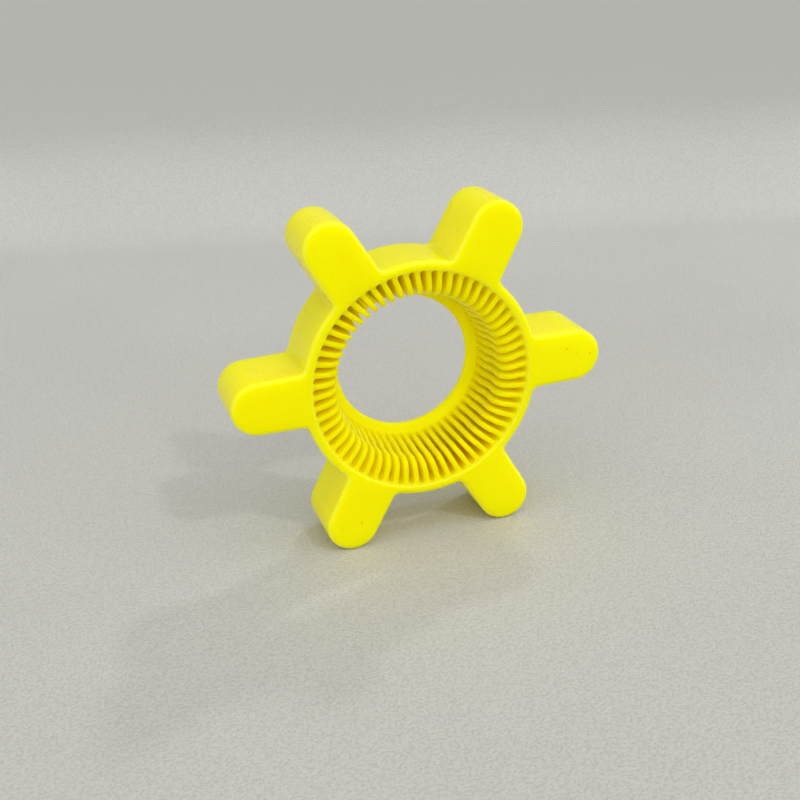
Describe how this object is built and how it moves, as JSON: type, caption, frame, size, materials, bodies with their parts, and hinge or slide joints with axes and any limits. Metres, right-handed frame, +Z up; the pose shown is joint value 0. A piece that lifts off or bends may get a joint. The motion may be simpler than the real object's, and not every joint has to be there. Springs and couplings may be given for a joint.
{
  "type": "jaw coupling spider",
  "caption": "Flexible jaw coupling spider: a moulded elastomer ring with round-ended radial legs, slanted fins in its bore and a smooth lip at the back.",
  "frame": {"origin": "centre of the bore, half way between the front and back faces", "axes": "+Y along the bore towards the smooth lip at the back; the finned front looks toward -Y; +Z up with the piece standing on its two lower legs; +X along a leg"},
  "size_m": [0.127, 0.0254, 0.1124],
  "materials": {
    "polyurethane": "bright yellow cast polyurethane, satin, slightly translucent"
  },
  "bodies": {
    "root": {"spider": "polyurethane"}
  },
  "joints": []
}
